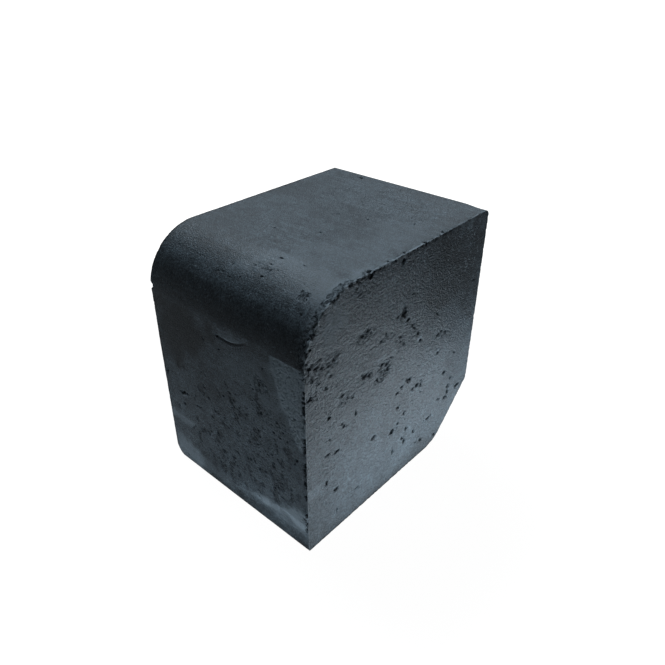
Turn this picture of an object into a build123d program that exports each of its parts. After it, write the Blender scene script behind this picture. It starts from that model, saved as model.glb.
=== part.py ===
from build123d import *
import os

# A small kerb block that edges block paving, pressed in one piece from
# dry concrete that is coloured right through.
# X runs along the kerb line, Y from the face that shows, at the front, to
# the back against the paving, and Z up from the bed.
# The section is the same all along X, as its mould is, and the block
# stands on its bed with the middle of its plan at the origin.

# Driving dimensions in millimetres
length = 97.0
depth = 126.5
height = 127.0

# The walking surface falls by this much from the back to the nose
top_fall = 0.8

# Bullnose along the top of the front
nose_radius = 27.5

# Splay along the bottom of the back, measured on the bed and up the back
splay_run = 27.7
splay_rise = 29.0

# The splay leaves the bed in a slow curve and meets the back in a tight one
splay_foot_radius = 16.0
splay_head_radius = 4.0

# Small moulded roundings on the section's other two corners
bed_front_radius = 1.2
back_top_radius = 1.2

# Worn arris round both end faces, where the block left its mould
end_arris_radius = 0.8

# Corners of the section before any is rounded, as points in Y and Z
front = -depth / 2
back = depth / 2
bed = 0.0
bed_front = (front, bed)
splay_foot = (back - splay_run, bed)
splay_head = (back, bed + splay_rise)
back_top = (back, bed + height)
nose_top = (front, bed + height - top_fall)

corner_radii = [
    (bed_front, bed_front_radius),
    (splay_foot, splay_foot_radius),
    (splay_head, splay_head_radius),
    (back_top, back_top_radius),
    (nose_top, nose_radius),
]

with BuildPart() as kerb:
    # The moulded section
    with BuildSketch(Plane.YZ) as section:
        with BuildLine():
            Polyline(*[corner for corner, radius in corner_radii], close=True)
        make_face()
        for corner, radius in corner_radii:
            sharp_corner = section.vertices().sort_by_distance(corner)[0]
            fillet(sharp_corner, radius=radius)
    # Drawn out to both sides of the middle of the length
    extrude(amount=length / 2, both=True)
    # Both end faces lose their sharp edge all the way round
    end_faces = kerb.faces().filter_by(Axis.X)
    fillet(end_faces.edges(), radius=end_arris_radius)

kerb_block = kerb.part
kerb_block.label = "kerb_block"

os.makedirs("parts", exist_ok=True)
export_step(kerb_block, "parts/kerb_block.step")
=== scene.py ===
import bpy
import bmesh
import math
import numpy as np
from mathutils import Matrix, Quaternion, Vector


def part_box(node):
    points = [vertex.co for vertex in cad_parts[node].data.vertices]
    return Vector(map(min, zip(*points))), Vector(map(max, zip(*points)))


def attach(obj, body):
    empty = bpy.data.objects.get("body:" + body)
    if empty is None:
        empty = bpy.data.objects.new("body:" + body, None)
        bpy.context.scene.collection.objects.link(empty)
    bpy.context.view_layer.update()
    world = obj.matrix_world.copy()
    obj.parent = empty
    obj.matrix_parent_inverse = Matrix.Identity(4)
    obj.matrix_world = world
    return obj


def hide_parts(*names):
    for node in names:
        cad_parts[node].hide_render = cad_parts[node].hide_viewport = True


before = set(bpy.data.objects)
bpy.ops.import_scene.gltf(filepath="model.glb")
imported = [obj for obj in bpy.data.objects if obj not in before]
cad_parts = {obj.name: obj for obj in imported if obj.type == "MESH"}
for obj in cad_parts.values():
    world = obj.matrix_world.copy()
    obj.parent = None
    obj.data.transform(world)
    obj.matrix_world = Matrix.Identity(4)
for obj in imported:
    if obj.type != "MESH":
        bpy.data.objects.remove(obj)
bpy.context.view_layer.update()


# The kerb block
# One piece of charcoal concrete, coloured right through and pressed dry in a
# steel mould. Its long faces slid along the mould walls and came out close and
# satin, while both ends are open, pitted and crumbled along their arrises.
MM = 0.001
low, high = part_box("kerb_block")
left, right = low.x, high.x
front, back = low.y, high.y
bed, crown = low.z, high.z
top_fall = 0.8 * MM
nose_radius = 27.5 * MM
splay_run = 27.7 * MM
splay_rise = 29 * MM
splay_foot_radius = 16 * MM
splay_head_radius = 4 * MM
small_radius = 1.2 * MM

# How many cells each stretch of the section gets. The four quarters between
# the middles of the corners come to the same count, so the ends fill evenly.
small_cells = 4
nose_cells = 90
foot_cells = 26
head_cells = 6
front_cells = 186
top_cells = 186
splay_cells = 62
quarter_cells = small_cells // 2 + front_cells + nose_cells // 2
back_cells = quarter_cells - small_cells // 2 - head_cells - splay_cells // 2
bed_cells = quarter_cells - small_cells // 2 - foot_cells - splay_cells // 2
length_cells = 190

bpy.ops.object.select_all(action="DESELECT")
bpy.ops.mesh.primitive_cube_add(
    size=1,
    location=((left + right) / 2, (front + back) / 2, (bed + crown) / 2),
    scale=(right - left, back - front, crown - bed),
)
block = bpy.context.object
block.name = "pressed_kerb_block"
bpy.ops.object.transform_apply(location=True, rotation=True, scale=True)
bpy.ops.object.mode_set(mode="EDIT")


def pick(kind, wanted):
    """Selects the block's verts, edges or faces that wanted says yes to, and no others."""
    bpy.ops.mesh.select_mode(type={"verts": "VERT", "edges": "EDGE", "faces": "FACE"}[kind])
    bpy.ops.mesh.select_all(action="DESELECT")
    mesh = bmesh.from_edit_mesh(block.data)
    for part in getattr(mesh, kind):
        if wanted(part):
            part.select_set(True)
    mesh.select_flush_mode()
    bmesh.update_edit_mesh(block.data)
    return mesh


def runs_lengthwise(edge):
    return abs(edge.verts[0].co.x - edge.verts[1].co.x) > (right - left) / 2


def lies_at(corner, y, z):
    return math.hypot(corner.co.y - y, corner.co.z - z) < 0.05 * MM


def round_corner(y, z, radius, turn, cells):
    """Rounds the section's corner at y and z, where its outline turns by the angle turn."""
    pick("edges", lambda e: runs_lengthwise(e) and all(lies_at(v, y, z) for v in e.verts))
    bpy.ops.mesh.bevel(
        offset=radius * math.tan(turn / 2),
        offset_type="OFFSET",
        segments=cells,
        profile=0.5,
        affect="EDGES",
    )


def cut_stretch(cells, holds):
    """Cuts a flat stretch of the section, at both ends of the block, into cells."""

    def on_stretch(edge):
        a, b = (v.co for v in edge.verts)
        return abs(a.x - b.x) < 0.01 * MM and (a - b).length > 4 * MM and holds((a + b) / 2)

    # A stretch is halved first, because one cut makes at most a hundred pieces
    for cuts in (1, cells // 2 - 1):
        pick("edges", on_stretch)
        bpy.ops.mesh.subdivide(number_cuts=cuts)


# The section: the top falls to the front, the splay is sliced off, and then
# each corner is rounded
pick("verts", lambda v: lies_at(v, front, crown))
bpy.ops.transform.translate(value=(0, 0, -top_fall))
bpy.ops.mesh.select_all(action="SELECT")
bpy.ops.mesh.bisect(
    plane_co=(0, back - splay_run, bed),
    plane_no=(0, splay_rise, -splay_run),
    clear_outer=True,
    use_fill=True,
)
square = math.pi / 2
splay_turn = math.atan2(splay_rise, splay_run)
round_corner(front, bed, small_radius, square, small_cells)
round_corner(back - splay_run, bed, splay_foot_radius, splay_turn, foot_cells)
round_corner(back, bed + splay_rise, splay_head_radius, square - splay_turn, head_cells)
round_corner(back, crown, small_radius, square, small_cells)
round_corner(front, crown - top_fall, nose_radius, square, nose_cells)

# Even cells all round the section and down the length, with closer rings at
# both arrises for their crumbs
edge_of_splay = back - splay_run
cut_stretch(front_cells, lambda m: m.y < front + 0.1 * MM)
cut_stretch(top_cells, lambda m: m.z > crown - 1 * MM)
cut_stretch(back_cells, lambda m: m.y > back - 0.1 * MM)
cut_stretch(splay_cells, lambda m: m.y > edge_of_splay and m.z < bed + splay_rise)
cut_stretch(bed_cells, lambda m: m.z < bed + 0.1 * MM)
arris_rings = (0.3 * MM, 0.75 * MM, 1.2 * MM)
for end, inward in ((left, 1), (right, -1)):
    for step in arris_rings:
        bpy.ops.mesh.select_mode(type="EDGE")
        bpy.ops.mesh.select_all(action="SELECT")
        bpy.ops.mesh.bisect(plane_co=(end + inward * step, 0, 0), plane_no=(1, 0, 0))
for shortest, cuts in ((0.9, 1), (0.4, length_cells // 2 - 1)):
    pick(
        "edges",
        lambda e: abs(e.verts[0].co.x - e.verts[1].co.x) > shortest * (right - left),
    )
    bpy.ops.mesh.subdivide(number_cuts=cuts)
pick("faces", lambda f: abs(f.normal.x) > 0.99)
bpy.ops.mesh.inset(thickness=0.3 * MM)
bpy.ops.mesh.inset(thickness=0.45 * MM)
bpy.ops.mesh.delete(type="ONLY_FACE")
for end in (left, right):
    mesh = pick(
        "edges",
        lambda e: len(e.link_faces) == 1 and abs(e.verts[0].co.x - end) < 0.01 * MM,
    )
    around = [v for v in mesh.verts if v.select]
    start = min(around, key=lambda v: math.hypot(v.co.y - front, v.co.z - bed))
    mesh.select_history.clear()
    mesh.select_history.add(start)
    bpy.ops.mesh.fill_grid(span=quarter_cells, offset=0, use_interp_simple=True)
bpy.ops.object.mode_set(mode="OBJECT")

# From here the faces are worn by moving their points, in millimetres: along
# the block, back from its front and up from its bed
points = np.empty(len(block.data.vertices) * 3)
block.data.vertices.foreach_get("co", points)
points = (points.reshape(-1, 3) - (0, front, bed)) / MM
facing = np.empty_like(points).ravel()
block.data.vertex_normals.foreach_get("vector", facing)
facing = facing.reshape(-1, 3)
along, depth, height = points.T.copy()
half_length = (right - left) / 2 / MM
full_depth = (back - front) / MM
full_height = (crown - bed) / MM
radius = nose_radius / MM
nose_height = full_height - top_fall / MM - radius


def uneven(size, seed, stretch=(1, 1, 1)):
    """Smooth random heights from -1 to 1 over the block, with hills about size apart."""
    side, shift = 61, 1000
    table = np.random.default_rng(seed).uniform(-1, 1, (side, side, side))
    place = points / (size * np.array(stretch)) + shift
    cell = np.floor(place).astype(int)
    part = place - cell
    part = part * part * (3 - 2 * part)
    total = np.zeros(len(points))
    for corner in np.ndindex(2, 2, 2):
        share = np.ones(len(points))
        for axis in range(3):
            share *= part[:, axis] if corner[axis] else 1 - part[:, axis]
        total += share * table[tuple(((cell + corner) % side).T)]
    return total


def ramp(value, start, stop):
    """0 before start, 1 after stop and smooth between them; start may be the higher one."""
    t = np.clip((value - start) / (stop - start), 0, 1)
    return t * t * (3 - 2 * t)


# The nose is unrolled to an arc, 0 where it leaves the front and 43 at the top
in_nose = (depth < radius) & (height > nose_height)
arc = radius * np.arctan2(height - nose_height, radius - depth)
slope_of_top = top_fall / (back - front)
below_top = full_height - slope_of_top * (full_depth - depth) - height
run, rise = splay_run / MM, splay_rise / MM
off_splay = (height * run - (depth - full_depth + run) * rise) / math.hypot(run, rise)
inside_outline = np.minimum.reduce([depth, full_depth - depth, height, below_top, off_splay])
to_nose = radius - np.hypot(depth - radius, height - nose_height)
inside_outline = np.where(in_nose, np.minimum(inside_outline, to_nose), inside_outline)

on_end = np.abs(facing[:, 0]) > 0.9
on_side = np.abs(facing[:, 0]) < 0.1
near_end = along > 0
from_end = half_length - np.abs(along)
from_arris = np.where(on_end, np.maximum(inside_outline, 0), from_end)

# Each face as a flat sheet: which points are on it, and their two places on it
sheets = {
    "end": (facing[:, 0] > 0.7, depth, height),
    "far_end": (facing[:, 0] < -0.7, depth, height),
    "front": ((facing[:, 1] < -0.6) & (height <= nose_height), along, height),
    "nose": (in_nose & (np.abs(facing[:, 0]) < 0.7), along, arc),
    "top": ((facing[:, 2] > 0.6) & (depth >= radius), along, depth),
    "back": (facing[:, 1] > 0.9, along, height),
    "bed": (facing[:, 2] < -0.9, along, depth),
    "splay": ((facing[:, 1] > 0.3) & (facing[:, 2] < -0.3), along, height),
}
ragged = uneven(1.1, 6)
wander = 0.6 * uneven(7, 9) + 0.4 * uneven(2.4, 10)
sunk = np.zeros(len(points))
raised = np.zeros(len(points))
tone = np.zeros(len(points))
rough = np.zeros(len(points))
dusty = np.zeros(len(points))
pitted = np.zeros(len(points))


def reach(face, u, v, half_u, half_v, turn=0, rag=0.6):
    """How far out each point is from a spot's middle, 1 at its ragged edge."""
    on_face, across, up = sheets[face]
    c, s = math.cos(math.radians(turn)), math.sin(math.radians(turn))
    du, dv = across - u, up - v
    out = np.hypot((du * c + dv * s) / half_u, (dv * c - du * s) / half_v)
    return np.where(on_face, out * (1 + rag * ragged), 99)


def sink(face, u, v, half_u, half_v, deep, turn=0):
    """Presses a pore into a face: a bowl in the mesh, and broken skin in and around it."""
    out = reach(face, u, v, half_u, half_v, turn)
    rim, bowl_share = 1.2, 0.6
    how_open = min(0.75, 0.4 + 0.4 * deep)
    hit = out < rim
    sunk[hit] = np.maximum(sunk[hit], bowl_share * deep * np.clip(1 - out[hit] ** 2, 0, 1))
    pitted[hit] = np.maximum(pitted[hit], (rim - out[hit]) * how_open)


def within(face, corners, soft):
    """How far each point is inside a patch with straight sides and wandering edges."""
    on_face, across, up = sheets[face]
    inside = np.full(len(points), 99.0)
    for (u0, v0), (u1, v1) in zip(corners, corners[1:] + corners[:1]):
        side = (u1 - u0) * (up - v0) - (v1 - v0) * (across - u0)
        inside = np.minimum(inside, side / math.hypot(u1 - u0, v1 - v0))
    return on_face * ramp(inside + 1.5 * soft * wander, -soft, soft)


# Pores of the end that shows: depth from the front, height, half width, half
# height and how deep they go
end_pores = [
    (62, 98.3, 1.9, 2.1, 1.5), (58, 97.9, 1.4, 0.8, 0.6), (48, 78, 1.2, 1.0, 0.9),
    (51.5, 76.4, 1.5, 1.4, 1.2), (52.3, 73.8, 1.4, 1.3, 1.2), (50, 71.7, 1.4, 1.1, 1.0),
    (45.2, 71.5, 1.8, 1.0, 0.9), (47.4, 74.5, 0.9, 1.1, 0.6), (48, 70.3, 1.3, 0.9, 0.7),
    (36, 78.2, 1.8, 1.0, 0.8), (39.2, 77.3, 1.5, 0.9, 0.8), (34.4, 79.6, 0.8, 0.7, 0.5),
    (22, 76.2, 1.4, 0.6, 0.6), (25, 73.7, 1.2, 0.6, 0.5), (21.5, 72.7, 1.0, 0.6, 0.5),
    (28.4, 71.4, 1.0, 0.6, 0.5), (13.5, 69.3, 0.9, 1.3, 0.8), (12, 85.8, 1.0, 0.8, 0.8),
    (3, 84.9, 1.5, 0.9, 0.8), (3, 99.4, 1.6, 0.8, 0.8), (6, 97.8, 1.6, 0.7, 0.7),
    (9.5, 96.3, 1.5, 0.7, 0.7), (13.5, 95.3, 1.3, 0.6, 0.6), (16.5, 96.8, 0.9, 0.6, 0.5),
    (15, 90.2, 1.3, 0.6, 0.6), (7.5, 89.8, 1.1, 0.6, 0.5), (34, 99.1, 1.6, 0.9, 0.9),
    (37, 100.1, 1.3, 0.9, 0.8), (39.5, 98.5, 0.8, 0.7, 0.6), (50.2, 92.4, 0.8, 1.3, 0.8),
    (46.5, 90.8, 1.3, 0.6, 0.6), (54, 91.4, 1.0, 0.6, 0.6), (66, 93.1, 1.2, 0.7, 0.7),
    (70, 88.3, 1.1, 0.9, 0.8), (71.5, 86.3, 0.9, 0.7, 0.6), (60.5, 86.4, 1.3, 0.6, 0.6),
    (61, 83.9, 1.3, 0.6, 0.6), (63.5, 81.8, 1.0, 0.8, 0.7), (74.5, 81.7, 1.3, 1.3, 0.9),
    (77, 77, 1.1, 0.9, 0.9), (89.5, 86.1, 0.8, 1.3, 0.6), (92, 72.9, 1.7, 0.8, 0.6),
    (94.8, 73.6, 1.3, 0.7, 0.6), (99, 71.5, 1.3, 0.9, 0.7), (94, 61.6, 1.7, 0.8, 0.8),
    (92.5, 64.6, 0.7, 1.0, 0.6), (70.5, 57.8, 1.5, 1.0, 1.1), (68.3, 58.9, 0.9, 0.7, 0.7),
    (61, 55.1, 1.3, 0.7, 0.7), (64, 56.8, 1.4, 0.8, 0.7), (77.5, 50.7, 1.5, 1.1, 1.1),
    (80.6, 51.7, 1.3, 0.7, 0.8), (80.5, 49, 0.9, 1.0, 0.8), (73.5, 50.4, 1.1, 0.7, 0.6),
    (62.5, 45.5, 1.0, 0.9, 0.8), (81, 44.7, 0.7, 0.9, 0.5), (102.3, 45.2, 1.2, 1.1, 1.0),
    (110.5, 53.7, 1.1, 0.9, 0.6), (44.5, 39.2, 1.5, 0.8, 0.8), (59, 33.1, 2.0, 1.2, 1.4),
    (68, 38.8, 0.9, 0.9, 0.7), (63.5, 35.3, 1.1, 0.6, 0.6), (109.5, 37.4, 0.9, 0.8, 0.7),
    (108.2, 33.2, 1.2, 1.5, 1.1), (108.3, 29.4, 1.1, 1.3, 1.0), (106, 26.9, 1.4, 1.0, 0.9),
    (99.5, 29.2, 1.7, 0.9, 0.8), (118, 28.3, 1.3, 1.3, 1.0), (91, 21.4, 2.3, 1.0, 1.2),
    (71, 27.3, 0.9, 1.4, 0.8), (68, 22.8, 1.1, 0.9, 0.8), (70, 19.3, 1.1, 1.3, 1.1),
    (78, 20.7, 1.0, 1.0, 0.8), (60.5, 18.9, 0.9, 1.3, 0.8), (18.3, 25.5, 1.7, 1.0, 1.2),
    (11.8, 34.3, 0.6, 1.3, 0.7), (12, 49.8, 1.3, 0.6, 0.7), (18.8, 47.9, 1.7, 0.7, 0.8),
    (14, 57.5, 0.8, 0.7, 0.6), (23.5, 59.2, 1.3, 0.7, 0.7), (22, 61.2, 1.0, 0.6, 0.5),
    (31, 61.6, 0.6, 1.5, 0.7), (32.5, 14.9, 1.1, 0.6, 0.7), (19.3, 12, 0.7, 1.1, 0.8),
    (85.5, 10.1, 1.0, 0.8, 0.8), (81, 11.2, 0.8, 0.7, 0.6), (99, 5, 1.4, 0.9, 0.8),
    (120.5, 91.8, 1.1, 0.6, 0.6), (38, 125.1, 2.2, 1.2, 0.9), (59, 123.9, 1.5, 1.2, 0.8),
    (3.6, 107.4, 0.7, 1.0, 0.6), (4.6, 113.4, 1.0, 1.6, 0.7), (68.5, 104.8, 1.3, 0.6, 0.6),
]
# Pores of the front: along the block, height, half sizes and depth
front_pores = [
    (-35.2, 40.1, 0.9, 1.2, 0.5), (-40.1, 37.2, 0.9, 1.6, 0.5), (-24.4, 44.9, 1.6, 0.6, 0.4),
    (-22, 45.2, 1.1, 0.5, 0.4), (-11.2, 38.3, 0.9, 0.6, 0.4), (-2.9, 62, 1.0, 0.7, 0.5),
    (-14.2, 55.2, 0.9, 1.0, 0.4), (2.9, 58.5, 0.9, 0.9, 0.4), (3.2, 32.7, 0.8, 1.4, 0.5),
    (1, 28.8, 0.9, 1.0, 0.4), (2.4, 22.8, 0.7, 0.9, 0.5), (12.4, 33.9, 1.7, 1.3, 0.6),
    (18.6, 31.6, 0.8, 1.1, 0.5), (26.7, 34.1, 1.4, 1.0, 0.5), (-11.7, 27.5, 1.4, 0.9, 0.4),
    (-8.1, 26.9, 0.8, 0.8, 0.4), (-4.9, 23.9, 0.8, 1.2, 0.4), (-7.3, 17, 1.0, 1.2, 0.4),
    (19.4, 54.6, 0.8, 0.9, 0.7), (22.3, 66.2, 1.1, 1.5, 0.7), (19.1, 71.2, 1.0, 0.8, 0.5),
    (42.8, 52.1, 1.1, 0.9, 0.8), (41.6, 49.2, 0.9, 0.7, 0.5), (16.4, 48.7, 0.8, 1.0, 0.4),
    (18.6, 46.5, 1.2, 0.7, 0.5), (20.5, 47.9, 0.7, 0.9, 0.4), (33.7, 46.3, 1.3, 0.5, 0.5),
    (37.7, 59.3, 0.8, 0.7, 0.5), (29.5, 59.4, 0.8, 0.7, 0.5), (31.8, 66.1, 0.9, 0.8, 0.5),
    (-3.4, 48.9, 0.9, 0.6, 0.5), (-2.2, 93.8, 1.5, 0.8, 0.4), (25.2, 90.1, 1.4, 0.5, 0.4),
    (22.7, 81, 0.9, 0.7, 0.5), (24.9, 82.2, 1.5, 0.5, 0.4), (21.5, 82.9, 0.9, 0.5, 0.4),
    (27.2, 80.6, 0.9, 0.6, 0.4), (16.6, 78.1, 1.0, 0.5, 0.4), (18, 76.7, 0.8, 0.5, 0.4),
    (35.2, 62.6, 0.8, 0.5, 0.4), (42.4, 73.7, 0.8, 0.7, 0.5), (27.4, 45.8, 0.8, 0.6, 0.4),
    (-46, 55.5, 1.6, 2.6, 0.4), (-17.6, 68.1, 1.0, 0.9, 0.3), (-14.7, 67.5, 0.9, 0.8, 0.3),
    (-2.4, 87.2, 1.0, 0.7, 0.3), (-12.7, 87.8, 0.7, 0.8, 0.3), (13.7, 60.8, 0.8, 0.8, 0.3),
    (27.9, 41.4, 0.7, 1.1, 0.4), (40.4, 41.2, 0.6, 0.8, 0.4), (37.2, 53.7, 0.7, 0.6, 0.3),
    (6.6, 44.6, 0.7, 0.6, 0.3), (-21, 32.3, 0.9, 0.5, 0.3), (-39.1, 4.2, 1.2, 0.6, 0.4),
]
# Pores of the nose: along the block, arc, half sizes and depth
nose_pores = [
    (35.2, 28.7, 0.7, 0.5, 0.6), (37.6, 28.9, 0.7, 0.5, 0.5), (36.4, 27.1, 0.8, 0.5, 0.6),
    (37.9, 25.9, 0.8, 0.4, 0.5), (39, 27.6, 0.6, 0.4, 0.4), (34.6, 26.6, 0.6, 0.4, 0.4),
    (13.7, 27.7, 1.2, 0.5, 0.5), (-3.5, 27.7, 1.0, 0.6, 0.4),
    (-8.3, 22.4, 1.0, 0.5, 0.4), (-5.9, 23.1, 0.9, 0.4, 0.4), (7.1, 23.3, 1.0, 0.4, 0.4),
    (4.2, 23.7, 0.8, 0.4, 0.3), (12.7, 34.5, 1.3, 0.5, 0.4), (15.2, 31.9, 1.2, 0.4, 0.4),
    (18.1, 33, 1.0, 0.4, 0.4), (24.9, 40.9, 1.3, 0.5, 0.5), (13.4, 39.9, 0.9, 0.4, 0.5),
    (33.3, 32.1, 0.8, 0.4, 0.3), (-1, 22.1, 0.7, 0.4, 0.3), (31.8, 42, 0.7, 0.5, 0.3),
    (-38.1, 25.7, 0.8, 0.4, 0.3), (6.8, 31.3, 1.0, 0.5, 0.3), (40.4, 20.7, 0.7, 0.5, 0.4),
]
# Pores of the top: along the block, depth, half sizes, how deep and their turn
top_pores = [
    (-26, 122, 0.8, 2.2, 0.9, 35), (14, 78.1, 0.5, 1.3, 0.5, 40),
    (-0.5, 74.7, 0.5, 1.1, 0.4, 40), (7.7, 53.3, 0.8, 0.7, 0.4, 0),
    (31.9, 93.1, 0.4, 1.3, 0.3, 30), (33, 87.8, 0.4, 1.2, 0.3, 30),
    (-15.5, 48.3, 0.8, 0.6, 0.3, 0), (-8.8, 76.2, 0.5, 0.9, 0.3, 40),
    (44.7, 82.6, 0.4, 0.8, 0.4, 30), (-10.8, 43.8, 0.6, 0.7, 0.3, 0),
    (47.2, 37.6, 1.2, 1.9, 0.9, 0), (47.2, 34.8, 0.8, 0.9, 0.6, 0),
    (47.7, 74.4, 1.6, 0.7, 0.7, 0), (47.3, 88.7, 1.2, 1.2, 0.6, 30),
    (47.9, 85.2, 0.9, 0.9, 0.6, 0), (47.5, 60.2, 0.9, 0.8, 0.5, 0),
    (47.5, 55.8, 0.6, 1.0, 0.5, 0), (47.4, 49.9, 0.6, 0.9, 0.5, 0),
]
# The end's sizes are those of the black hollows alone, so its pores are widened
# to their rims
for face, pores, widen in (("end", end_pores, 1.25), ("front", front_pores, 1), ("nose", nose_pores, 1)):
    for u, v, half_u, half_v, deep in pores:
        sink(face, u, v, widen * half_u, widen * half_v, deep)
for u, v, half_u, half_v, deep, turn in top_pores:
    sink("top", u, v, half_u, half_v, deep, turn)

# Where the skin broke up into many small pits: the face, its corners, how soft
# the edge is and how broken
broken_skin = [
    ("end", [(-1, 91.9), (20, 91.7), (20, 101.7), (-1, 102.9)], 2.0, 0.42),
    ("end", [(29, 95.1), (43, 95.5), (42, 102), (29, 102.1)], 1.5, 0.42),
    ("end", [(42, 87), (57, 88.9), (56, 94.4), (43, 94)], 1.5, 0.38),
    ("end", [(42, 68), (55, 69.4), (55, 79.9), (45, 80)], 1.2, 0.40),
    ("end", [(31, 75.1), (43, 75), (42, 81), (32, 81.1)], 1.2, 0.37),
    ("end", [(17, 69.7), (31, 69.6), (29, 77.6), (19, 77.7)], 1.5, 0.38),
    ("end", [(56, 84.4), (80, 74.2), (80, 93.2), (60, 98.4)], 3.0, 0.34),
    ("end", [(0, 81.9), (8, 81.8), (8, 88.8), (0, 88.9)], 1.5, 0.42),
    ("end", [(84, 67.1), (102, 68), (100, 76), (86, 78.1)], 2.5, 0.36),
    ("end", [(64, 99.3), (75, 101.2), (73, 110.2), (65, 111.3)], 1.5, 0.32),
    ("end", [(28, 117.6), (46, 117.5), (48, 128.5), (28, 128.6)], 2.5, 0.40),
    ("end", [(-1, 60.9), (45, 60.6), (75, 128.4), (-1, 128.9)], 8.0, 0.25),
    ("end", [(0, 10.9), (120, 9.9), (120, 64), (0, 64)], 8.0, 0.22),
    ("front", [(19.6, 76.7), (29.3, 76.6), (29.3, 84.5), (19.6, 84.6)], 1.5, 0.42),
    ("front", [(13.7, 60.8), (45, 55.6), (45, 70.5), (14.7, 73.7)], 4.0, 0.33),
    ("front", [(-13.7, 15.6), (45, 20.8), (45, 66.5), (-13.7, 61.1)], 8.0, 0.30),
    ("front", [(28.4, 98.4), (36, 78), (44, 58.6), (48.4, 58.5), (48.4, 100)], 1.2, 0.31),
    ("front", [(-48.9, 2.4), (48.9, 0.9), (48.9, 97.3), (-48.9, 97.9)], 3.0, 0.16),
    ("nose", [(34, 24.7), (39.6, 24.7), (39.6, 29.7), (34.2, 29.7)], 0.6, 0.42),
    ("nose", [(4.9, 26.7), (19.6, 26.7), (19.6, 35.7), (4.9, 35.7)], 3.0, 0.26),
    ("nose", [(44, 0.7), (48.9, 0.7), (48.9, 45.7), (45.5, 45.7)], 0.8, 0.42),
    ("far_end", [(0, 60), (60, 60), (60, 128), (0, 128)], 20, 0.34),
]
for face, corners, soft, share in broken_skin:
    pitted = np.maximum(pitted, share * within(face, corners, soft))

# The lower part of the front is mottled with soft, dark, shallow dents
dents = within("front", [(-30, 18), (0, 11), (46, 22), (46, 58), (20, 76), (-30, 62)], 6)
dents *= ramp(0.8 * uneven(3.2, 41, (0.8, 1, 1.4)) + 0.5 * uneven(1.3, 42), 0.18, 0.6)
sunk = np.maximum(sunk, 0.12 * dents)
tone -= 0.65 * dents
pitted = np.maximum(pitted, 0.42 * dents)

# The faces turned away carry the same kinds of pores, strewn with a fixed seed:
# how many, the largest half size, and how deep against their size
strewn = np.random.default_rng(20)
smallest = 0.55
for face, count, largest, deep in (
    ("far_end", 85, 1.9, 0.75),
    ("back", 26, 1.2, 0.5),
    ("bed", 40, 1.5, 0.5),
    ("splay", 12, 1.2, 0.5),
):
    on_face, across, up = sheets[face]
    spots = np.flatnonzero(on_face)
    for spot in strewn.choice(spots, count, replace=False):
        half = smallest + (largest - smallest) * strewn.random() ** 2.5
        half_v = half * strewn.uniform(0.5, 0.9)
        turn = strewn.uniform(-25, 25)
        sink(face, across[spot], up[spot], half, half_v, half * deep, turn)

# A slit low on the left of the front, with its lower lip pushed out and painted
# paler as a highlight, where it faces up into the light
sink("front", -34.6, 47.7, 2.7, 0.9, 1.2, 22)
lip = ramp(reach("front", -34.2, 46, 3.2, 0.7, 22, 0.2), 1.1, 0.3)
raised += 0.16 * lip
# Painted highlight on the slit's lower lip
tone += 0.5 * lip

# A pressed-on scale high on the front, shaped like a lens: its skin stands out
# above a thin lip that curves up to the right. The scale's skin is painted paler as
# painted light from below, the lip is painted pale as a highlight, and the crack
# under the lip is painted dark as its shadow.
on_front, across, up = sheets["front"]
lip_height = 94.2 + 0.0245 * np.maximum(across - 3, 0) ** 2
above_lip = (depth < 3) * (facing[:, 1] < -0.6) * ramp(height, lip_height - 0.3, lip_height + 0.4)
scale_skin_and_painted_light = above_lip * ramp(height - 0.15 * across, 101.2, 98.8)
scale_skin_and_painted_light *= ramp(across + wander, -5.5, -3.5) * ramp(across, 18, 16)
raised += 0.12 * scale_skin_and_painted_light
# Painted light on the scale's skin
tone += 0.22 * scale_skin_and_painted_light
lip = on_front * ramp(np.abs(up - lip_height - 0.2 * ragged), 0.5, 0.15)
raised += 0.15 * lip * ramp(across, 0, 1.5) * ramp(across, 11, 8)
# Painted highlight on the lip
tone += 0.7 * lip * ramp(across, 0, 1.5) * ramp(across, 10, 7)
crack_and_painted_shadow = on_front * ramp(np.abs(up - lip_height + 0.6), 0.75, 0.15)
crack_and_painted_shadow *= ramp(across, -4, -2) * ramp(across, 17, 14)
sunk = np.maximum(sunk, 0.4 * crack_and_painted_shadow)
# Painted shadow under the lip
tone -= 0.6 * crack_and_painted_shadow
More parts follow.
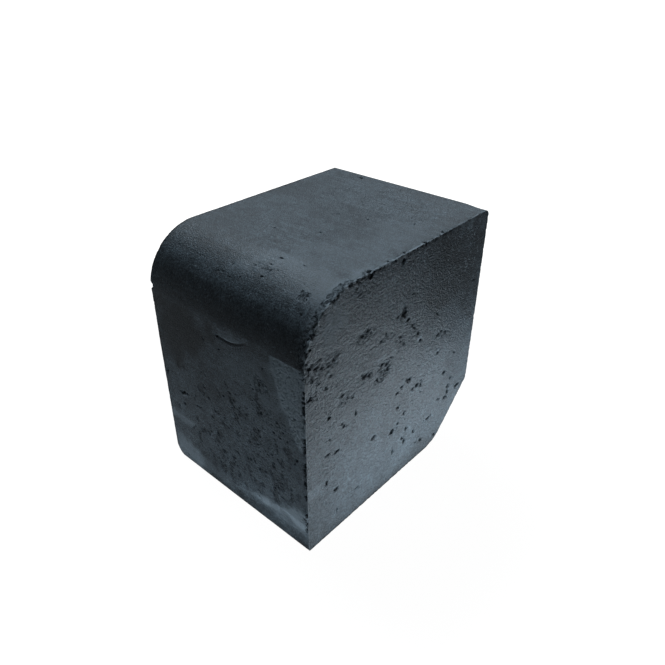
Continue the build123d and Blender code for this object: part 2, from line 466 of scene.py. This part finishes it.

# Patches where the skin is paler and rougher, or darker and closer, and patches of
# painted light and shade: the face, its corners, how soft the edge is, how pale
# (below zero for dark), how rough
patches = [
    ("front", [(28.4, 98.4), (36, 78), (44, 58.6), (48.4, 58.5), (48.4, 100)], 1.2, 0.75, 0.9),
    ("front", [(33.5, 94.4), (40.1, 64.6), (45, 60.6), (48.4, 94.3)], 3.0, 0.40, 0.5),
    ("front", [(21.5, 1.3), (48.9, 0.9), (48.9, 100.3), (29.3, 100.4)], 12, 0.15, 0.1),
    ("front", [(29.3, 15.5), (34.5, 12.4), (48.4, 12.5), (48.4, 22.4), (37.2, 20.9)], 1.8, 0.6, 0.3),
    ("front", [(-4, 6.6), (19.6, 11), (30.3, 12.6), (30.3, 15.5), (19.6, 14.2)], 1.2, 0.45, 0.1),
    ("front", [(-48.9, 1.4), (-26.4, 1), (-29.3, 10.9), (-38.1, 16), (-48.9, 18.1)], 3.5, 0.45, 0.2),
    ("front", [(-48.9, 27), (-37.2, 26.3), (-32.3, 28.2), (-27.4, 32.6), (-39.1, 31.8), (-48.9, 32.9)],
     1.5, 0.4, 0.1),
    ("front", [(-29.3, 4), (-2, 3.6), (-2, 9.5), (-29.3, 10.9)], 2.0, 0.15, 0),
    ("front", [(0, 0.6), (47.9, -0.1), (46, 7.9), (19.6, 8.7), (0, 5.6)], 1.5, -0.4, 0),
    # Painted shade: the upper left of the front, which little light reaches, is darkened
    ("front", [(-48.9, 97.9), (-48.9, 63.4), (-29.3, 67.2), (-9.8, 84.8), (-4.9, 97.6)], 7.0, -0.85, 0),
    ("front", [(0, 58), (34, 56), (30, 88), (0, 86)], 8, 0.10, 0),
    ("end", [(41, 80.5), (50, 80.9), (50, 82.5), (42, 82.5)], 0.7, 0.5, 0),
    ("end", [(0.5, 30.9), (8, 30.8), (8, 36.8), (0.5, 36.9)], 0.8, 0.3, 0),
    ("end", [(73.5, 77.2), (77.5, 77.2), (78, 79.2), (74, 79.2)], 0.6, 0.6, 0.2),
    ("end", [(100, 120), (111, 120.9), (110, 124.9), (103, 124.5)], 4.0, 0.45, 0.2),
    ("end", [(105, 104), (114, 104.9), (113, 109.9), (106, 108.9)], 4.0, 0.25, 0.1),
    # Painted shade: the upper back of the end, which the light from below hardly reaches, is darkened
    ("end", [(78, 88), (127, 78), (127, 120), (78, 122)], 9.0, -0.6, 0),
    # Painted light: a paler band across the back of the end at mid height, where its reflection of the lit
    # floor is brightest
    ("end", [(90, 50), (127, 46), (127, 70), (92, 68)], 7, 0.13, 0),
    ("end", [(8, 104.8), (26, 108.7), (24, 119.7), (12, 121.8)], 4.0, 0.35, 0.5),
    ("top", [(42.3, 27.4), (49.1, 27.4), (49.1, 52.1), (45.4, 40.2)], 2.0, 0.25, 0.3),
    # Painted sheen and shade: the top is paler to the right, where the sheen of the lamps falls, and darker
    # to the left
    ("top", [(14, 27.5), (49.5, 27.5), (49.5, 90), (30, 90)], 12, 0.22, 0),
    ("top", [(-49.5, 27.5), (-28, 27.5), (-28, 127), (-49.5, 127)], 10, -0.15, 0),
    ("nose", [(44, 8), (48.9, 3.7), (48.9, 45.7), (44.5, 45.7)], 1.2, 0.35, 0.9),
    # Painted sheen and shade: the upper nose is paler to the right, where its highlight is, and darker to
    # the left
    ("nose", [(0, 30), (48.9, 24), (48.9, 45.7), (0, 45.7)], 7, 0.30, 0),
    ("nose", [(-49, 31), (-26, 31), (-26, 45.7), (-49, 45.7)], 8, -0.12, 0),
    # Painted shade: the nose's lower band, turned away from the lamps, is darkened
    ("nose", [(-49, 0), (49, 0), (49, 17), (-49, 19)], 4, -0.6, 0),
    ("nose", [(33.7, 24.7), (39.6, 24.7), (39.6, 29.7), (34.2, 29.7)], 0.8, 0.25, 0.4),
]
for face, corners, soft, pale, coarse in patches:
    inside = within(face, corners, soft)
    tone += pale * inside
    rough = np.maximum(rough, coarse * inside)

# Pale smears run down the end below its back corner
smears = within("end", [(102, 88), (125, 80), (125, 127), (104, 127)], 4)
tone += 0.3 * smears * ramp(0.8 * uneven(3.5, 51, (1, 1, 2.5)) + 0.4 * uneven(1.2, 52), 0, 0.6)

# Where pale dust and crumbs cling: the face, corners, softness and how much
for face, corners, soft, much in (
    ("end", [(84, 92), (127, 84), (127, 127), (84, 127)], 6, 0.36),
    ("end", [(104, 96), (124, 92), (122, 126), (106, 126)], 4, 0.42),
    ("end", [(60, 100), (92, 92), (92, 127), (60, 127)], 6, 0.33),
    ("end", [(-1, 100), (40, 96), (60, 127), (-1, 127)], 6, 0.31),
    ("end", [(-1, 70), (100, 66), (90, 90), (-1, 104)], 4, 0.33),
    ("front", [(19, 76), (29, 76), (29, 85), (19, 85)], 1.5, 0.42),
    ("front", [(27, 99), (43, 58), (48.4, 58), (48.4, 101)], 1.5, 0.40),
    ("front", [(-49, 1), (49, 1), (49, 98), (-49, 98)], 3, 0.24),
    ("nose", [(33.4, 24.2), (39.9, 24.2), (39.9, 30), (33.9, 30)], 0.8, 0.42),
    ("nose", [(-49, 1), (49, 1), (49, 44), (-49, 44)], 3, 0.30),
    ("nose", [(44.5, 1), (49, 1), (49, 45), (45.5, 45)], 0.8, 0.33),
    ("top", [(47.3, 27), (49, 27), (49, 127), (47.3, 127)], 0.6, 0.44),
):
    dusty = np.maximum(dusty, much * within(face, corners, soft))

# Pale specks on the dark of the nose, and small crumbs stuck to the front
specks = [
    ("nose", -32.9, 24.7, 0.9, 0.4), ("nose", 10, 12.2, 0.6, 0.5), ("nose", -21.7, 20.3, 0.9, 0.5),
    ("nose", -22.7, 12.3, 0.8, 0.9), ("nose", -4.3, 13.9, 0.7, 0.9), ("nose", 37.2, 4.1, 0.9, 0.6),
    ("nose", -39.6, 12.5, 0.5, 0.6), ("nose", -21.5, 35.2, 0.7, 0.5), ("front", -13.3, 46.9, 0.9, 0.9),
    ("front", 23.5, 83, 1.6, 0.4), ("front", 25.7, 81.2, 1.2, 0.4), ("front", 17.5, 77.3, 0.9, 0.4),
    ("front", 34.8, 37, 0.9, 0.6), ("front", 16.3, 20, 0.7, 0.7), ("front", 41.3, 95.4, 1.0, 0.5),
    ("front", -46.5, 78.4, 0.9, 0.9), ("end", 14, 113.8, 1.3, 0.5), ("end", 75.5, 78.5, 1.2, 0.6),
    ("end", 37, 125.6, 1.0, 0.6), ("end", 72, 104.8, 1.2, 0.4), ("top", -26.3, 71.1, 1.0, 0.6),
    ("top", 8.4, 91.9, 0.7, 0.9), ("top", 35.2, 108.7, 1.2, 1.0), ("top", 36.1, 100.6, 0.8, 0.8),
]
for face, u, v, half_u, half_v in specks:
    bead = ramp(reach(face, u, v, half_u, half_v, 0, 0.3), 1.2, 0.3)
    raised += 0.1 * bead
    tone += 0.5 * bead

# Slow unevenness everywhere, the lumpy skin of the ends, which is roughest
# towards the top of the front, and the close, drawn skin of the moulded faces
worn = 0.07 + 0.04 * (1 + uneven(38, 1))
pits = ramp(0.6 * uneven(1.7, 21, (1.3, 1.3, 0.9)) + 0.5 * uneven(0.9, 22), 0.05, 0.6)
sunk = np.maximum(sunk, 0.5 * ramp(pitted, 0.25, 0.55) * pits)
open_skin = ramp(depth, full_depth - 30, 30) * ramp(height, 30, full_height - 30)
lumps = 0.5 + 0.5 * uneven(3.2, 2, (1, 1.9, 1)) * uneven(7, 3, (1, 1.6, 1))
worn += on_end * (0.03 + 0.05 * open_skin) * lumps
worn += on_end * (0.02 + 0.05 * open_skin) * (1 + uneven(1.2, 4, (1, 1.3, 1)))
worn += on_side * 0.012 * (1 + uneven(1.6, 5, (2.5, 1, 1)))
worn += rough * (0.04 * (1 + uneven(0.9, 13)) + 0.05 * (1 + uneven(2.1, 14)))
worn += sunk - raised

# The arrises of both ends. On the end that shows, the front's is undercut by a
# crumbly groove behind a thin fin that the mould left, the nose's and the top's
# are broken, and the rest are nearly whole
broken = ramp(0.65 * uneven(1.4, 7) + 0.6 * uneven(0.8, 8), -0.2, 0.55)
how_broken = np.where(near_end, 0.25, 0.12) * (0.6 + 0.4 * uneven(14, 11))
nose_break = 0.6
top_break = 0.45
high_up = near_end * ramp(height, 94, 99)
how_broken += nose_break * high_up * ramp(depth, 70, 50)
how_broken += top_break * high_up * ramp(depth, 118, 80)
crumb = how_broken * broken * ramp(from_arris, np.where(on_end, 2.1, 1.5), 0)
groove = near_end * sheets["front"][0] * ramp(from_end, 2.5, 1.3) * ramp(from_end, 0.2, 0.5)
teeth = ramp(0.5 * uneven(3.4, 16) + 0.6 * uneven(1.1, 12) + 0.4 * uneven(0.7, 15), -0.4, 0.45)
groove *= (0.1 + 0.9 * teeth) * ramp(height, 2, 20) * ramp(height, 104, 97)
groove_depth = 0.75
points -= facing * (worn + crumb + groove_depth * groove)[:, None]
# Painted highlight: near the end, the arrises of the upper nose and the top are painted paler in ragged
# spots, where the rounded arris faces up into the light
rim = near_end * ~on_end * ramp(height, 94, 99) * ramp(from_end, 1.8, 0.4)
tone += 0.5 * rim * ramp(0.6 * uneven(1.3, 31) + 0.6 * uneven(0.8, 32), -0.1, 0.4)

# Small damage to the outline: the far arris of the front is rubbed back below
# the nose and chipped at its foot, the back's arris has a nick, and the far
# bottom corner is rounded off
rubbed = 0.4 * ramp(height, 103, 102) * ramp(height, 70, 92)
rubbed *= ramp(along, 4 - half_length, -half_length)
nick_height = 68.7
nick = 0.5 * ramp(np.hypot((height - nick_height) / 1.2, from_end / 2.5), 1.2, 0.3) * near_end
chip_height = 101.7
chip = 1.6 * ramp(np.hypot((height - chip_height) / 1.6, depth / 5), 1.2, 0.3)
chip *= ramp(along, 5 - half_length, -half_length)
points[:, 0] += np.maximum(rubbed, chip)
points[:, 1] -= nick * (depth > full_depth - 3)
corner_radius = 8
into_x = np.maximum(corner_radius - (points[:, 0] + half_length), 0)
into_z = np.maximum(corner_radius - points[:, 2], 0)
over = np.maximum(np.hypot(into_x, into_z) - corner_radius, 0) * ramp(depth, 14, 3)
length = np.maximum(np.hypot(into_x, into_z), 0.01)
points[:, 0] += over * into_x / length
points[:, 2] += over * into_z / length

# The near corner of the back's top arris is worn rounder than the rest of it
worn_radius = 3.4
into_y = np.maximum(worn_radius - (full_depth - points[:, 1]), 0)
into_z = np.maximum(worn_radius - (full_height - points[:, 2]), 0)
length = np.maximum(np.hypot(into_y, into_z), 0.01)
over = np.maximum(length - worn_radius, 0) * near_end * ramp(from_end, 14, 2)
points[:, 1] -= over * into_y / length
points[:, 2] -= over * into_z / length

# Back to metres, and nothing may stand proud of the plain block
points = points * MM + (0, front, bed)
inset = 0.05 * MM
np.clip(points, np.array(low) + inset, np.array(high) - inset, out=points)
block.data.vertices.foreach_set("co", points.ravel())

# What the broken arrises add to the pits and the dust
pitted = np.maximum(pitted, 0.6 * crumb * ramp(crumb, 0.1, 0.5) + 0.75 * groove)
edge_pits = near_end * ramp(from_arris, 2, 0.3) * ramp(height, 92, 98)
pitted = np.maximum(pitted, edge_pits * (0.22 + 0.08 * ramp(depth, 70, 50)))
dusty += near_end * 0.32 * ramp(from_arris, 2.2, 0.4) * ramp(height, 92, 98) * ramp(depth, 85, 60)
for name, value in (("pitted", pitted), ("tone", tone), ("rough", rough), ("dusty", dusty)):
    layer = block.data.attributes.new(name, "FLOAT", "POINT")
    layer.data.foreach_set("value", np.clip(value, -1, 1))
block.data.update()

# The fine grid is thinned where the faces are plain and kept in the pores
thin = block.modifiers.new("thin", "DECIMATE")
kept_triangles = 190000
thin.ratio = kept_triangles / (2 * len(block.data.polygons))
bpy.ops.object.modifier_apply(modifier="thin")
bpy.ops.object.shade_smooth_by_angle(angle=math.radians(60))


def linear(colour):
    """A hex colour as Blender's linear numbers."""
    parts = [int(colour[i : i + 2], 16) / 255 for i in (1, 3, 5)]
    return [c / 12.92 if c <= 0.04045 else ((c + 0.055) / 1.055) ** 2.4 for c in parts] + [1]


def node(tree, kind, links=(), **settings):
    """Adds a node; links maps its inputs to sockets, settings are properties or inputs."""
    made = tree.nodes.new(kind)
    for name, value in settings.items():
        if hasattr(made, name):
            setattr(made, name, value)
        else:
            made.inputs[name.replace("_", " ")].default_value = value
    for name, source in dict(links).items():
        tree.links.new(source, made.inputs[name])
    return made


# Charcoal concrete, pressed nearly dry. The pigment gives it a cool, deep grey
# that clouds over a few centimetres, sand grains show as a fine speckle, and
# fines drawn out along the mould leave faint streaks on the moulded faces.
concrete = bpy.data.materials.new("pressed_charcoal_concrete")
concrete.use_nodes = True
tree = concrete.node_tree
tree.nodes.clear()
coords = node(tree, "ShaderNodeTexCoord")
place = node(
    tree, "ShaderNodeVectorMath", {"Vector": coords.outputs["Object"]}, operation="SCALE", Scale=1000
).outputs["Vector"]
drawn = node(tree, "ShaderNodeMapping", {"Vector": place}, Scale=(0.06, 1, 1)).outputs["Vector"]
level = node(tree, "ShaderNodeMapping", {"Vector": place}, Scale=(1, 0.7, 1)).outputs["Vector"]

# How open the skin is: 0 on the moulded faces and 1 on the ends
parts = node(tree, "ShaderNodeSeparateXYZ", {"Vector": place})
out = node(tree, "ShaderNodeMath", {0: parts.outputs["X"]}, operation="ABSOLUTE")
open_end = node(
    tree, "ShaderNodeMapRange", {"Value": out.outputs[0]}, From_Min=47.6, From_Max=48.1
).outputs[0]

# Clouds 28 mm across, blotches of 4.5 mm, sand of 0.9 mm, grit of half a
# millimetre and streaks 1.4 mm apart. The grit is drawn coarser than it is: the
# real fines are a tenth of a millimetre and less.
clouds = node(tree, "ShaderNodeTexNoise", {"Vector": place}, Scale=1 / 28, Detail=3, Roughness=0.55)
blotches = node(tree, "ShaderNodeTexNoise", {"Vector": place}, Scale=1 / 4.5, Detail=2, Roughness=0.5)
sand = node(tree, "ShaderNodeTexNoise", {"Vector": level}, Scale=1 / 0.9, Detail=2, Roughness=0.6)
grit = node(tree, "ShaderNodeTexNoise", {"Vector": place}, Scale=1 / 0.5, Detail=1, Roughness=0.6)
streaks = node(tree, "ShaderNodeTexNoise", {"Vector": drawn}, Scale=1 / 1.4, Detail=3, Roughness=0.6)
shade = None
shade_offset = -1.75
for noise, amount in ((clouds, 0.7), (blotches, 0.5), (sand, 1.1), (streaks, 0.6), (grit, 1.6)):
    links = {0: noise.outputs["Fac"]}
    if shade:
        links[2] = shade.outputs[0]
    shade = node(tree, "ShaderNodeMath", links, operation="MULTIPLY_ADD")
    shade.inputs[1].default_value = amount
    if len(links) == 1:
        shade.inputs[2].default_value = shade_offset
greys = node(tree, "ShaderNodeValToRGB", {"Fac": shade.outputs[0]})
greys.color_ramp.elements[0].position = 0.1
greys.color_ramp.elements[0].color = linear("#252B2F")
greys.color_ramp.elements[1].position = 0.9
greys.color_ramp.elements[1].color = linear("#626E76")
mid_grey = greys.color_ramp.elements.new(0.5)
mid_grey.color = linear("#424A50")

# Pits: the mesh says how broken the skin is, and a noise of 1.2 mm decides
# which spots of it are open, so their rims are ragged
pitted = node(tree, "ShaderNodeAttribute", attribute_name="pitted")
gaps = node(tree, "ShaderNodeTexNoise", {"Vector": level}, Scale=1 / 1.2, Detail=3, Roughness=0.65)
open_pit = node(
    tree, "ShaderNodeMath", {0: gaps.outputs["Fac"], 1: pitted.outputs["Fac"]}, operation="ADD"
)
pore = node(
    tree, "ShaderNodeMapRange", {"Value": open_pit.outputs[0]}, interpolation_type="SMOOTHSTEP",
    From_Min=0.9, From_Max=1.08,
)

# Pale dust and crumbs sit on the other spots of the same noise, and a thin pale
# ring on the lips of the pits, which is crumbs and a painted highlight on their
# lit rims. The slope is the wall that leads down from the skin into a pit.
crumbs = node(tree, "ShaderNodeAttribute", attribute_name="dusty")
crumbs = node(
    tree, "ShaderNodeMath", {0: crumbs.outputs["Fac"], 1: gaps.outputs["Fac"]}, operation="SUBTRACT"
)
crumbs = node(
    tree, "ShaderNodeMapRange", {"Value": crumbs.outputs[0]}, interpolation_type="SMOOTHSTEP",
    From_Min=-0.06, From_Max=0.1, To_Max=0.75,
)
pit_lip_crumbs_and_highlight = node(
    tree, "ShaderNodeMapRange", {"Value": open_pit.outputs[0]}, interpolation_type="SMOOTHSTEP",
    From_Min=0.76, From_Max=0.88, To_Max=0.22,
)
slope = node(
    tree, "ShaderNodeMapRange", {"Value": open_pit.outputs[0]}, interpolation_type="SMOOTHSTEP",
    From_Min=0.74, From_Max=1.06,
)
dust_and_lip_highlight = node(
    tree, "ShaderNodeMath", {0: crumbs.outputs[0], 1: pit_lip_crumbs_and_highlight.outputs[0]}, operation="MAXIMUM"
).outputs[0]

# Paler and darker patches of skin, among them painted light and shade, and the
# dark inside the pores, the groove and the broken arrises, painted as the shade
# of their hollows
tone = node(tree, "ShaderNodeAttribute", attribute_name="tone")
pale = node(tree, "ShaderNodeMath", {0: tone.outputs["Fac"]}, operation="MAXIMUM")
pale.inputs[1].default_value = 0
dark = node(tree, "ShaderNodeMath", {0: tone.outputs["Fac"]}, operation="MULTIPLY", use_clamp=True)
dark.inputs[1].default_value = -1
colour = greys.outputs["Color"]
for amount, hue in (
    (pale.outputs[0], "#8C979F"),
    (dark.outputs[0], "#12171A"),
    # Pale dust, and a painted highlight on the lips of the pits
    (dust_and_lip_highlight, "#8C979F"),
    # Painted shade in the hollows of the pores
    (pore.outputs[0], "#1B2328"),
):
    mixed = node(tree, "ShaderNodeMix", {0: amount, 6: colour}, data_type="RGBA")
    mixed.inputs[7].default_value = linear(hue)
    colour = mixed.outputs[2]

# The skin is satin where the mould polished it and duller where it is pale,
# crumbled or open
coarse = node(tree, "ShaderNodeAttribute", attribute_name="rough")
dull = node(tree, "ShaderNodeMath", {0: sand.outputs["Fac"]}, operation="MULTIPLY_ADD")
dull.inputs[1].default_value = 0.16
dull.inputs[2].default_value = 0.31
for source, amount in (
    (coarse.outputs["Fac"], 0.15),
    (pore.outputs[0], 0.35),
    (pale.outputs[0], 0.08),
    (open_end, 0.02),
):
    dull = node(tree, "ShaderNodeMath", {0: source, 2: dull.outputs[0]}, operation="MULTIPLY_ADD")
    dull.inputs[1].default_value = amount

# The relief too fine for the mesh: sand under the skin, which is lowest on the
# moulded faces, streaks, grit, dust, and the walls of the pits, which go down by
# 0.8 mm
stipple = node(tree, "ShaderNodeTexNoise", {"Vector": level}, Scale=1 / 0.9, Detail=2, Roughness=0.7)
relief = node(tree, "ShaderNodeMath", {0: open_end}, operation="MULTIPLY_ADD")
relief.inputs[1].default_value = 1.8
relief.inputs[2].default_value = 0.4
relief = node(
    tree, "ShaderNodeMath", {0: coarse.outputs["Fac"], 2: relief.outputs[0]}, operation="MULTIPLY_ADD"
)
relief.inputs[1].default_value = 0.9
relief = node(
    tree, "ShaderNodeMath", {0: relief.outputs[0], 1: stipple.outputs["Fac"]}, operation="MULTIPLY"
)
for source, amount in (
    (streaks.outputs["Fac"], 0.25),
    (grit.outputs["Fac"], 0.7),
    (dust_and_lip_highlight, 0.6),
    (slope.outputs[0], -2.4),
):
    relief = node(tree, "ShaderNodeMath", {0: source, 2: relief.outputs[0]}, operation="MULTIPLY_ADD")
    relief.inputs[1].default_value = amount
bump = node(tree, "ShaderNodeBump", {"Height": relief.outputs[0]}, Strength=1, Distance=0.00035)

surface = node(
    tree,
    "ShaderNodeBsdfPrincipled",
    {"Base Color": colour, "Roughness": dull.outputs[0], "Normal": bump.outputs["Normal"]},
)
surface.inputs["Specular IOR Level"].default_value = 0.14
node(tree, "ShaderNodeOutputMaterial", {"Surface": surface.outputs["BSDF"]})
block.data.materials.clear()
block.data.materials.append(concrete)
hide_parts("kerb_block")
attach(block, "root")


# The floor that the block stands on
# A wide sheet of matt white card that runs out past the frame. It shows as
# white and keeps the block's soft shadow.
bpy.ops.object.select_all(action="DESELECT")
bpy.ops.mesh.primitive_plane_add(size=14, location=(0, 0, 0))
floor = bpy.context.object
floor.name = "floor"
card = bpy.data.materials.new("matt_white_card")
card.use_nodes = True
tree = card.node_tree
tree.nodes.clear()
matt = node(tree, "ShaderNodeBsdfDiffuse", Color=linear("#A0A0A0"))
white = node(tree, "ShaderNodeEmission", Strength=1.3)
ray = node(tree, "ShaderNodeLightPath")
# Seen straight or through glass it is white; the block is nearly matt and dark,
# so its gloss sees only a little of that white
white_in_gloss = 0.1
shown = node(
    tree,
    "ShaderNodeMath",
    {0: ray.outputs["Is Camera Ray"], 1: ray.outputs["Is Transmission Ray"]},
    operation="ADD",
)
coords = node(tree, "ShaderNodeTexCoord")
away = node(tree, "ShaderNodeVectorMath", {"Vector": coords.outputs["Object"]}, operation="LENGTH")
# Close to the block the floor shows less of its own white, so the shadow stays
fading = node(
    tree, "ShaderNodeMapRange", {"Value": away.outputs["Value"]}, interpolation_type="SMOOTHSTEP",
    From_Min=0.1, From_Max=0.4, To_Min=0.76, To_Max=1,
)
shown = node(tree, "ShaderNodeMath", {0: shown.outputs[0], 1: fading.outputs[0]}, operation="MULTIPLY")
glossy = node(
    tree, "ShaderNodeMath", {0: ray.outputs["Is Glossy Ray"], 2: shown.outputs[0]}, operation="MULTIPLY_ADD"
)
glossy.inputs[1].default_value = white_in_gloss
mixed = node(tree, "ShaderNodeMixShader", {0: glossy.outputs[0], 1: matt.outputs[0], 2: white.outputs[0]})
node(tree, "ShaderNodeOutputMaterial", {"Surface": mixed.outputs[0]})
floor.data.materials.append(card)

# The light
# A bank of soft boxes over the far left of the block, and white cards lying on
# the floor in front and to the right that lift those two faces from below.
scene = bpy.context.scene
middle = Vector((0, 0, 0.0635))
cool = (0.87, 1.0, 1.1)


def soft_box(name, toward, size, power):
    """A square lamp 1.2 m off in the direction toward, turned to the block."""
    away = 1.2
    bpy.ops.object.light_add(type="AREA", location=middle + Vector(toward).normalized() * away)
    lamp = bpy.context.object
    lamp.name = name
    lamp.rotation_euler = (middle - lamp.location).to_track_quat("-Z", "Y").to_euler()
    lamp.data.size = size
    lamp.data.energy = power
    lamp.data.color = cool
    lamp.visible_camera = False


def lit_card(name, at, size_x, size_y, power):
    """A card on the floor at a place in x and y, which throws light upwards."""
    bpy.ops.object.light_add(type="AREA", location=(at[0], at[1], 0.3 * MM), rotation=(math.pi, 0, 0))
    lamp = bpy.context.object
    lamp.name = name
    lamp.data.shape = "RECTANGLE"
    lamp.data.size = size_x
    lamp.data.size_y = size_y
    lamp.data.energy = power
    lamp.data.color = cool
    lamp.visible_camera = False
    return lamp


soft_box("box_behind_high", (-0.57, 0.47, 0.67), 0.45, 3.3)
soft_box("box_overhead", (-0.57, 0.15, 0.81), 0.45, 5.3)
soft_box("box_overhead_front", (-0.57, 0.0, 0.82), 0.35, 2.7)
soft_box("box_far_behind", (-0.35, 0.85, 0.35), 0.45, 1.0)
lit_card("card_right_near", (0.090, 0.03), 0.045, 0.17, 0.135)
lit_card("card_right_edge", (0.0575, 0.01), 0.018, 0.15, 0.0117)
# The cards in front are hidden from gloss, because their mirror image would light
# the top of the front, which is nearly black
for front_card in (
    lit_card("card_front_near", (-0.03, -0.095), 0.17, 0.055, 0.0235),
    lit_card("card_front_right", (0.035, -0.10), 0.05, 0.06, 0.022),
    lit_card("card_front_edge", (-0.02, -0.068), 0.12, 0.008, 0.0018),
):
    front_card.visible_glossy = False

world = bpy.data.worlds.new("white_studio")
scene.world = world
world.use_nodes = True
tree = world.node_tree
ray = node(tree, "ShaderNodeLightPath")
shown = node(
    tree,
    "ShaderNodeMath",
    {0: ray.outputs["Is Camera Ray"], 1: ray.outputs["Is Transmission Ray"]},
    operation="ADD",
)
glossy = node(
    tree, "ShaderNodeMath", {0: ray.outputs["Is Glossy Ray"], 2: shown.outputs[0]}, operation="MULTIPLY_ADD"
)
glossy.inputs[1].default_value = white_in_gloss
tree.nodes["Background"].inputs["Color"].default_value = (1, 1, 1, 1)
tree.links.new(glossy.outputs[0], tree.nodes["Background"].inputs["Strength"])
scene.view_settings.view_transform = "Standard"

# The camera
eye = Vector((177.68, -192.48, 231.01)) * MM
aim = Vector((2.13, 4.11, 66.13)) * MM
camera = bpy.data.objects.new("camera", bpy.data.cameras.new("camera"))
scene.collection.objects.link(camera)
camera.data.lens = 33.267
camera.data.sensor_width = 36
camera.data.clip_start = 0.01
camera.location = eye
camera.rotation_mode = "QUATERNION"
turn = (aim - eye).to_track_quat("-Z", "Y")
camera.rotation_quaternion = turn @ Quaternion((0, 0, 1), math.radians(0.187))
scene.camera = camera
